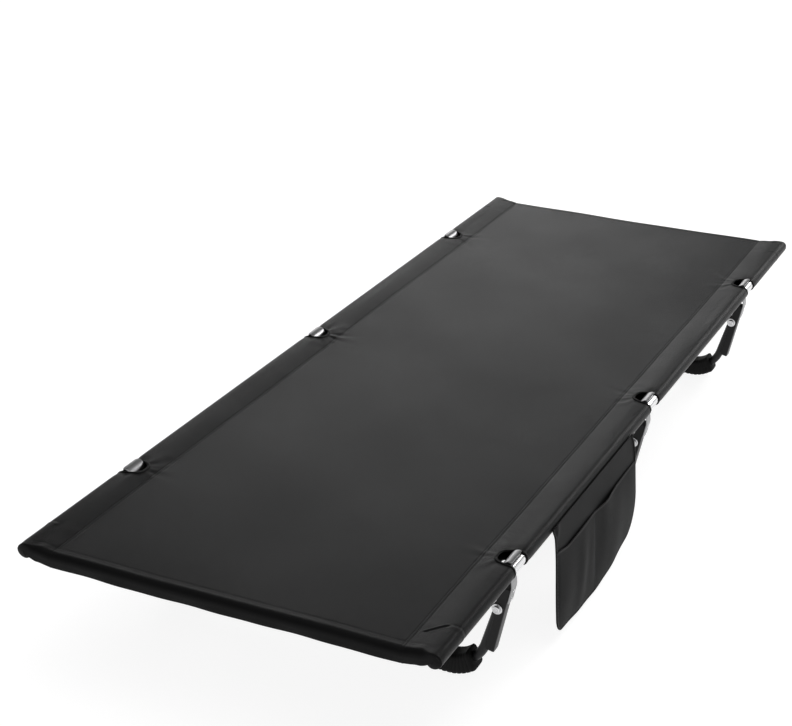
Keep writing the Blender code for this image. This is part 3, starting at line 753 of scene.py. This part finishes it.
for number, middle in enumerate(leg_y, 1):
    for side, word in ((-1, "left"), (1, "right")):
        size = bow_radius * np.ones(len(bow_line))
        size[0] *= 0.93
        size[-1] *= 0.95
        tube = bar_along(f"bow_tube_{word}_{number}", side, middle, bow_line,
                         path_normals(bow_line), size, size, 2.0, satin_black)
        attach(tube, "frame")
        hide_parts(f"bow_{word}_{number}")
refinish("bow_ferrule", satin_black)


# ---------------------------------------------------------------------------
# Rubber boots: a moulded black rubber shoe pushed over each bend, ribbed across its
# sole, with a flared outer lip and a thin toe under the tube.
# ---------------------------------------------------------------------------
boot_half_width = 0.019
boot_outer = bow_bend + bow_radius + sole_depth
boot_roof = bow_bend - bow_radius - 0.0085
boot_steps = np.linspace(0, 1, 90)
outer_angle = np.radians(-50) + np.radians(-72) * boot_steps
roof_angle = np.radians(-42) + np.radians(-70) * boot_steps
from_sole = np.abs(outer_angle + math.pi / 2)
ribs = np.clip(np.sin(boot_steps * 2 * math.pi * 11), 0, 1) ** 2
outer_reach = np.where(from_sole < sole_flat,
                       boot_outer * math.cos(sole_flat) / np.cos(from_sole), boot_outer)
outer_reach = outer_reach - 0.0009 * ribs
outer_line = np.stack([bend_x + outer_reach * np.cos(outer_angle),
                       bend_z + outer_reach * np.sin(outer_angle)], -1)
roof_line = np.stack([bend_x + boot_roof * np.cos(roof_angle),
                      bend_z + boot_roof * np.sin(roof_angle)], -1)
boot_centre = (outer_line + roof_line) / 2
boot_span = roof_line - outer_line
boot_height = np.linalg.norm(boot_span, axis=1)
ease = rounded_ends(boot_centre, 0.004)
black_rubber = moulded_black("black_rubber", (0.0028, 0.0028, 0.0028), 0.7, 1100.0, 0.00025)
for number, middle in enumerate(leg_y, 1):
    for side, word in ((-1, "left"), (1, "right")):
        width = (boot_half_width - 0.0007 * ribs) * (0.86 + 0.14 * ease)
        boot = bar_along(f"boot_{word}_{number}", side, middle, boot_centre,
                         boot_span / boot_height[:, None], width,
                         boot_height / 2 * (0.80 + 0.20 * ease), 5.0, black_rubber, 40)
        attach(boot, "frame")
        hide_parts(f"foot_{word}_{number}")


# ---------------------------------------------------------------------------
# Pivot rivets: bright steel, set across each bow's tip, with a washer and a stepped,
# ringed head on either side of the lever.
# ---------------------------------------------------------------------------
rivet_half = rivet_high.y
flange_face = 0.0113
washer_top = flange_face + 0.0014
head_profile = [(flange_face - 0.001, 0.0030), (flange_face, 0.0030), (flange_face, 0.0087),
                (flange_face + 0.0003, 0.0090), (washer_top - 0.0003, 0.0090),
                (washer_top, 0.0087), (washer_top, 0.0072), (washer_top - 0.0004, 0.0069),
                (washer_top - 0.0004, 0.0063), (washer_top + 0.0002, 0.0060),
                (rivet_half - 0.0008, 0.0060), (rivet_half - 0.0002, 0.0056),
                (rivet_half, 0.0050), (rivet_half, 0.0043), (rivet_half - 0.0009, 0.0039),
                (rivet_half - 0.0009, 0.0032), (rivet_half - 0.0002, 0.0028),
                (rivet_half - 0.0002, 0.0017), (rivet_half - 0.0010, 0.0013),
                (rivet_half - 0.0012, 0.0004)]
bright_steel = drawn_metal("bright_steel", (0.72, 0.72, 0.73), 0.24, 1500.0, 0.2)
for number, middle in enumerate(leg_y, 1):
    for side, word in ((-1, "left"), (1, "right")):
        stations = [(middle - y, r) for y, r in head_profile[::-1]]
        stations += [(middle + y, r) for y, r in head_profile]
        grid = turned_about_y(stations, bed_x + side * pivot_out, pivot_z, 40)
        faces = grid_faces(len(stations), 40, False, True)
        last = 40 * (len(stations) - 1)
        faces += [list(range(40)), list(range(last, last + 40))]
        rivet = make_piece(f"rivet_{word}_{number}", grid, faces, bright_steel, sharp=30)
        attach(rivet, "frame")
        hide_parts(f"pivot_rivet_{word}_{number}")


# ---------------------------------------------------------------------------
# Levers: black channel pressed from 1.8 mm sheet, its flanges swelling round the rivet.
# Each swings on its rivet, and its tail is what a hand pulls to free the leg.
# ---------------------------------------------------------------------------
lever_lean = math.radians(11.6)
lever_face = 0.0125
lever_up = 0.040
lever_down = 0.0800
lever_half = 0.011
lever_wall = 0.0018


def lever_point(side, middle, depth, height, y):
    """World point from the lever's own depth behind its face, height over the rivet
    and place along Y."""
    away = lever_face - depth
    x = away * math.cos(lever_lean) + height * math.sin(lever_lean)
    z = -away * math.sin(lever_lean) + height * math.cos(lever_lean)
    return np.stack(np.broadcast_arrays(bed_x + side * (pivot_out + x), middle + y, pivot_z + z), -1)


lever_rows = np.concatenate([-lever_down + 0.004 * (1 - np.cos(np.linspace(0, math.pi / 2, 7))),
                             np.linspace(-lever_down + 0.006, lever_up, 70)])
base_depth = 0.0145 + 0.0005 * smooth_step(lever_rows, -0.03, 0.02)
swell = lever_face + np.sqrt(np.clip(0.0098 ** 2 - lever_rows ** 2, 0, None))
hub_blend = smooth_step(-np.abs(lever_rows), -0.020, -0.006)
flange_depth = np.where(np.abs(lever_rows) < 0.0097, np.maximum(swell, base_depth), base_depth)
flange_depth = np.maximum(flange_depth, base_depth + hub_blend * 0.0045)
tail = np.clip((lever_rows + lever_down) / 0.004, 0, 1)
tail_round = np.sqrt(1 - (1 - tail) ** 2)
flange_depth = flange_depth - 0.0035 * (1 - tail_round)
half_across = lever_half - 0.0025 * (1 - tail_round)
corner = np.linspace(0, math.pi / 2, 5)
corner_radius = 0.0022
section = []
for depth, half in zip(flange_depth, half_across):
    outer_y = half - corner_radius * (1 - np.sin(corner))
    outer_d = corner_radius * (1 - np.cos(corner))
    inner_half, inner_radius = half - lever_wall, 0.0012
    inner_y = inner_half - inner_radius * (1 - np.sin(corner))
    inner_d = lever_wall + inner_radius * (1 - np.cos(corner))
    lip = half - lever_wall / 2 + lever_wall / 2 * np.cos(np.linspace(0, math.pi, 5))
    lip_d = depth - 0.0009 + lever_wall / 2 * np.sin(np.linspace(0, math.pi, 5))
    right_y = np.concatenate([outer_y, lip, inner_y[::-1]])
    right_d = np.concatenate([outer_d, lip_d, inner_d[::-1]])
    section.append(np.stack([np.concatenate([right_y, -right_y[::-1]]),
                             np.concatenate([right_d, right_d[::-1]])], -1))
section = np.array(section)
lever_black = moulded_black("lever_black", (0.010, 0.010, 0.0105), 0.36, 500.0, 0.00008)
for number, middle in enumerate(leg_y, 1):
    for side, word in ((-1, "left"), (1, "right")):
        grid = lever_point(side, middle, section[..., 1], lever_rows[:, None], section[..., 0])
        columns = section.shape[1]
        faces = grid_faces(len(lever_rows), columns, False, True)
        last = columns * (len(lever_rows) - 1)
        faces += [list(range(columns)), list(range(last, last + columns))]
        lever = make_piece(f"lever_channel_{word}_{number}", grid, faces, lever_black)
        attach(lever, f"hook_lever_{word}_{number}")
        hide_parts(f"lever_{word}_{number}")


# ---------------------------------------------------------------------------
# Hooks: a brushed aluminium band that lies on each lever's face as a tang, bends under
# the rail and wraps it to the top, with a black plastic liner against the rail.  The
# liner is also painted shade: it fills the shadowed gap under the band, and its top runs
# past the band's to cover the rail's bright reflection there.  Two small rivets hold the tang.
# ---------------------------------------------------------------------------
hook_half = 0.0215
band_thick = 0.0020
liner_from, liner_to = rail_radius + 0.0004, rail_radius + 0.0034
band_radius = liner_to + 0.0001 + band_thick / 2
hook_top, hook_foot = math.radians(77), math.radians(248)


def in_bed(depth, height):
    """(out, z) of a point given in a right lever's own depth and height."""
    away = lever_face - depth
    return (pivot_out + away * math.cos(lever_lean) + height * math.sin(lever_lean),
            pivot_z - away * math.sin(lever_lean) + height * math.cos(lever_lean))


arc_angle = np.linspace(hook_foot, hook_top, 70)
arc_run = np.stack([rail_out + band_radius * np.cos(arc_angle),
                    rail_z + band_radius * np.sin(arc_angle)], -1)
face_depth = -0.0004 - band_thick / 2
tang_run = np.array([in_bed(face_depth, h) for h in np.linspace(0.0145, 0.0440, 24)])
arm_corner = np.array([in_bed(0.0016, 0.0540)])
corners = np.concatenate([tang_run, arm_corner, arc_run])
length = np.concatenate([[0], np.cumsum(np.linalg.norm(np.diff(corners, axis=0), axis=1))])
even = np.arange(0, length[-1], 0.0005)
band_line = np.stack([np.interp(even, length, corners[:, axis]) for axis in (0, 1)], -1)
window = np.hanning(13)
window /= window.sum()
padded_line = np.concatenate([2 * band_line[0] - band_line[6:0:-1], band_line,
                              2 * band_line[-1] - band_line[-2:-8:-1]])
band_line = np.stack([np.convolve(padded_line[:, axis], window, 'valid') for axis in (0, 1)], -1)
band_line = band_line[::2]
hook_start = length[len(tang_run) + 1]
reached = even[::2]
widen = smooth_step(reached, hook_start - 0.004, hook_start + 0.006)
band_half = lever_half - 0.0004 + (hook_half - lever_half + 0.0004) * widen
band_half = band_half * (0.84 + 0.16 * rounded_ends(band_line, 0.0035))
liner_angle = np.linspace(math.radians(249), math.radians(80), 60)
liner_middle = (liner_from + liner_to) / 2
liner_line = np.stack([rail_out + liner_middle * np.cos(liner_angle),
                       rail_z + liner_middle * np.sin(liner_angle)], -1)
brushed_metal = drawn_metal("brushed_metal", (0.34, 0.34, 0.345), 0.32, 1600.0, 0.35)
# The liner's black is partly painted shade: a dark piece in the shadowed gap under the band, and over
# the rail's reflection past the band's top.
liner_and_shade_black = moulded_black("liner_and_shade_black", (0.010, 0.010, 0.010), 0.45, 900.0, 0.0001)
for number, middle in enumerate(leg_y, 1):
    for side, word in ((-1, "left"), (1, "right")):
        body = f"hook_lever_{word}_{number}"
        band = bar_along(f"hook_band_{word}_{number}", side, middle, band_line,
                         path_normals(band_line), band_half, band_thick / 2, 8.0,
                         brushed_metal, 32)
        liner_and_shade = bar_along(f"hook_liner_and_shade_{word}_{number}", side, middle, liner_line,
                          path_normals(liner_line), hook_half + 0.0005,
                          (liner_to - liner_from) / 2, 8.0, liner_and_shade_black, 32)
        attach(band, body)
        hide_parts(f"hook_{word}_{number}")
        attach(liner_and_shade, body)
        for place_number, height in enumerate((0.020, 0.036), 1):
            turn = np.arange(20) * 2 * math.pi / 20
            proud = np.array([0.0, 0.0008, 0.0012, 0.0013])[:, None]
            reach = np.array([0.0032, 0.0031, 0.0022, 0.0003])[:, None]
            face = face_depth - band_thick / 2 + 0.0002
            grid = lever_point(side, middle, face - proud, height + reach * np.sin(turn),
                               reach * np.cos(turn))
            faces = grid_faces(4, 20, False, True) + [list(range(20)), list(range(60, 80))]
            stud = make_piece(f"tang_rivet_{word}_{number}_{place_number}", grid, faces,
                              bright_steel)
            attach(stud, body)


# ---------------------------------------------------------------------------
# Side pocket: a hanging panel of lighter black cloth sewn under the right sleeve, with
# a pouch in two compartments on its outer face, bound along its free edges.
# ---------------------------------------------------------------------------
swing = next(joint for joint in frame["joints"] if joint["name"] == "pocket_swing")
hinge_x, _, hinge_z = swing["pos_m"]
pocket_lean = math.radians(3.9)
pocket_near, pocket_far = -0.516, -0.126
pocket_top = -0.006
pocket_low = 0.1975
divider_y = -0.340


def pocket_place(y, low, depth):
    """World point from y, the distance down the panel and the depth outward."""
    x = low * math.sin(pocket_lean) + depth * math.cos(pocket_lean)
    z = -low * math.cos(pocket_lean) + depth * math.sin(pocket_lean)
    return np.stack(np.broadcast_arrays(hinge_x + x, y, hinge_z + z), -1)


def pocket_bottom(share):
    """Lower edge, share 0 near to 1 far: lowest under the divider, rising faster to the
    far side, with a tight near corner and a wide far one."""
    lowest = 0.467
    rise = np.where(share < lowest, 0.012 * ((lowest - share) / lowest) ** 2,
                    0.030 * (np.clip(share - lowest, 0, 1) / (1 - lowest)) ** 1.6)
    width = pocket_far - pocket_near
    near_corner, far_corner = 0.021, 0.058
    into_near = 1 - np.clip(share * width / near_corner, 0, 1)
    into_far = 1 - np.clip((1 - share) * width / far_corner, 0, 1)
    rounding = (near_corner * (1 - np.sqrt(1 - into_near ** 2.2 * 0.995))
                + far_corner * (1 - np.sqrt(1 - into_far ** 2.2 * 0.995)))
    return pocket_low - rise - rounding


def pocket_y(share, low):
    """Place along Y: straight sides that flare at the top where they are pinched."""
    flare = np.exp(-np.clip(low, 0, None) / 0.016)
    left = pocket_near - 0.010 * flare + 0.0015 * np.sin(30.0 * low)
    right = pocket_far - 0.014 * flare
    return left + (right - left) * share


def panel_depth(y, low):
    """How far the back panel stands outward: soft upright folds that grow downward,
    and a pinch at its near top corner."""
    hang = smooth_step(low, 0.01, 0.12)
    folds = (0.0009 * np.sin(33.0 * y + 2.0 * np.sin(11.0 * y + 6.0 * low))
             + 0.0004 * np.sin(77.0 * y + 14.0 * low)) * hang
    pinch = 0.0030 * bump_at(y, pocket_near + 0.006, 0.009) * bump_at(low, 0.004, 0.014)
    return 0.0012 + folds + pinch


def mouth_low(share):
    """The pouch's mouth: highest at the near edge, level, sagging where it gapes."""
    return 0.042 + 0.008 * smooth_step(share, 0.0, 0.13) + 0.002 * bump_at(share, 0.58, 0.12)


def pouch_depth(share, down_share, y, low):
    """How far the pouch stands outward: sewn flat at its edges and divider, full in
    each compartment, and gaping at the far one's mouth."""
    split = (divider_y - pocket_near) / (pocket_far - pocket_near)
    first = np.clip(share / split, 0, 1)
    second = np.clip((share - split) / (1 - split), 0, 1)
    fullness = (0.0055 * np.sin(math.pi * first) ** 0.8
                + 0.0075 * np.sin(math.pi * second) ** 0.8)
    upright = np.sin(math.pi * (0.04 + 0.96 * down_share)) ** 0.8
    gape = 0.0040 * bump_at(second, 0.24, 0.16) * np.exp(-down_share / 0.22)
    gape = gape + 0.0008 * np.sin(math.pi * first) * np.exp(-down_share / 0.15)
    wander = 70.0 * y + 3.0 * np.sin(19.0 * y + 8.0 * low)
    folds = 0.0007 * np.sin(wander) * np.sin(math.pi * down_share)
    seam = np.minimum(smooth_step(share, 0, 0.03), 1 - smooth_step(share, 0.97, 1.0))
    seam = seam * (1 - smooth_step(down_share, 0.93, 1.0))
    return panel_depth(y, low) + 0.0013 + (fullness * upright + gape + folds) * seam


across_share, down_share = np.meshgrid(np.linspace(0, 1, 150), np.linspace(0, 1, 90))
low = pocket_top + down_share * (pocket_bottom(across_share) - pocket_top)
y = pocket_y(across_share, low)
pocket_cloth = woven_cloth("pocket_cloth", (0.0050, 0.0050, 0.0052), 0.62, 0.0006, 0.01, 0.15)
panel = make_piece("pocket_back", pocket_place(y, low, panel_depth(y, low)),
                   grid_faces(*y.shape), pocket_cloth, np.stack([y, low], -1), closed=False,
                   sharp=60)
thicken_cloth(panel, 0.0008, 0.0)
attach(panel, "pocket")
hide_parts("pocket_panel")

mouth = mouth_low(across_share)
low = mouth + down_share * (pocket_bottom(across_share) - mouth)
y = pocket_y(across_share, low)
pouch_points = pocket_place(y, low, pouch_depth(across_share, down_share, y, low))
pouch = make_piece("pocket_front", pouch_points, grid_faces(*y.shape), pocket_cloth,
                   np.stack([y, low], -1), closed=False, sharp=60)
thicken_cloth(pouch, 0.0008, 0.0)
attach(pouch, "pocket")
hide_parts("pocket_pouch")

# Binding down the near edge, round the bottom and up the far edge, and a turned hem
# along the mouth; a row of stitches runs inside the binding and two rows down the divider.
side_steps = np.linspace(0, 1, 60)
near_low = pocket_top + side_steps * (pocket_bottom(np.array(0.0)) - pocket_top)
far_low = pocket_top + side_steps[::-1] * (pocket_bottom(np.array(1.0)) - pocket_top)
bottom_share = np.linspace(0, 1, 180)[1:-1]
edge_low = np.concatenate([near_low, pocket_bottom(bottom_share), far_low])
edge_share = np.concatenate([0 * near_low, bottom_share, 0 * far_low + 1])
edge_y = pocket_y(edge_share, edge_low)
edge_depth = panel_depth(edge_y, edge_low) + 0.0006
edge_line = pocket_place(edge_y, edge_low, edge_depth)
centre_point = pocket_place((pocket_near + pocket_far) / 2, 0.09, 0.002)
pocket_binding = edge_tape("pocket_binding", edge_line, centre_point - edge_line, 0.0024,
                           0.0015, 0.0012, binding_tape, closed=False)
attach(pocket_binding, "pocket")
mouth_line = pouch_points[0, 2:-2]
mouth_hem = edge_tape("pocket_mouth_hem", mouth_line, pouch_points[6, 2:-2] - mouth_line,
                      0.0022, 0.0009, 0.0012, binding_tape, closed=False)
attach(mouth_hem, "pocket")

outward = np.array([math.cos(pocket_lean), 0.0, math.sin(pocket_lean)])
starts, ends = [], []
inset = edge_line + 0.0028 * (centre_point - edge_line) / np.linalg.norm(
    centre_point - edge_line, axis=1, keepdims=True) + 0.0017 * outward
starts.append(inset[3:-3:2])
ends.append(inset[3:-3:2] + 0.75 * (inset[4:-2:2] - inset[3:-3:2]))
begin, finish_at = stitch_marks(1.0, 0.027)
divider_share = (divider_y - pocket_near) / (pocket_far - pocket_near)
for shift in (-0.004, 0.004):
    row = divider_share + shift + 0 * begin
    for marks_at, kept in ((begin, starts), (finish_at, ends)):
        row_mouth = mouth_low(row)
        row_low = row_mouth + marks_at * (pocket_bottom(row) - row_mouth)
        row_y = pocket_y(row, row_low)
        kept.append(pocket_place(row_y, row_low, pouch_depth(row, marks_at, row_y, row_low) + 0.0004))
starts, ends = np.concatenate(starts), np.concatenate(ends)
pocket_stitching = sew("pocket_stitching", starts, ends, np.tile(outward, (len(starts), 1)),
                       "pocket")
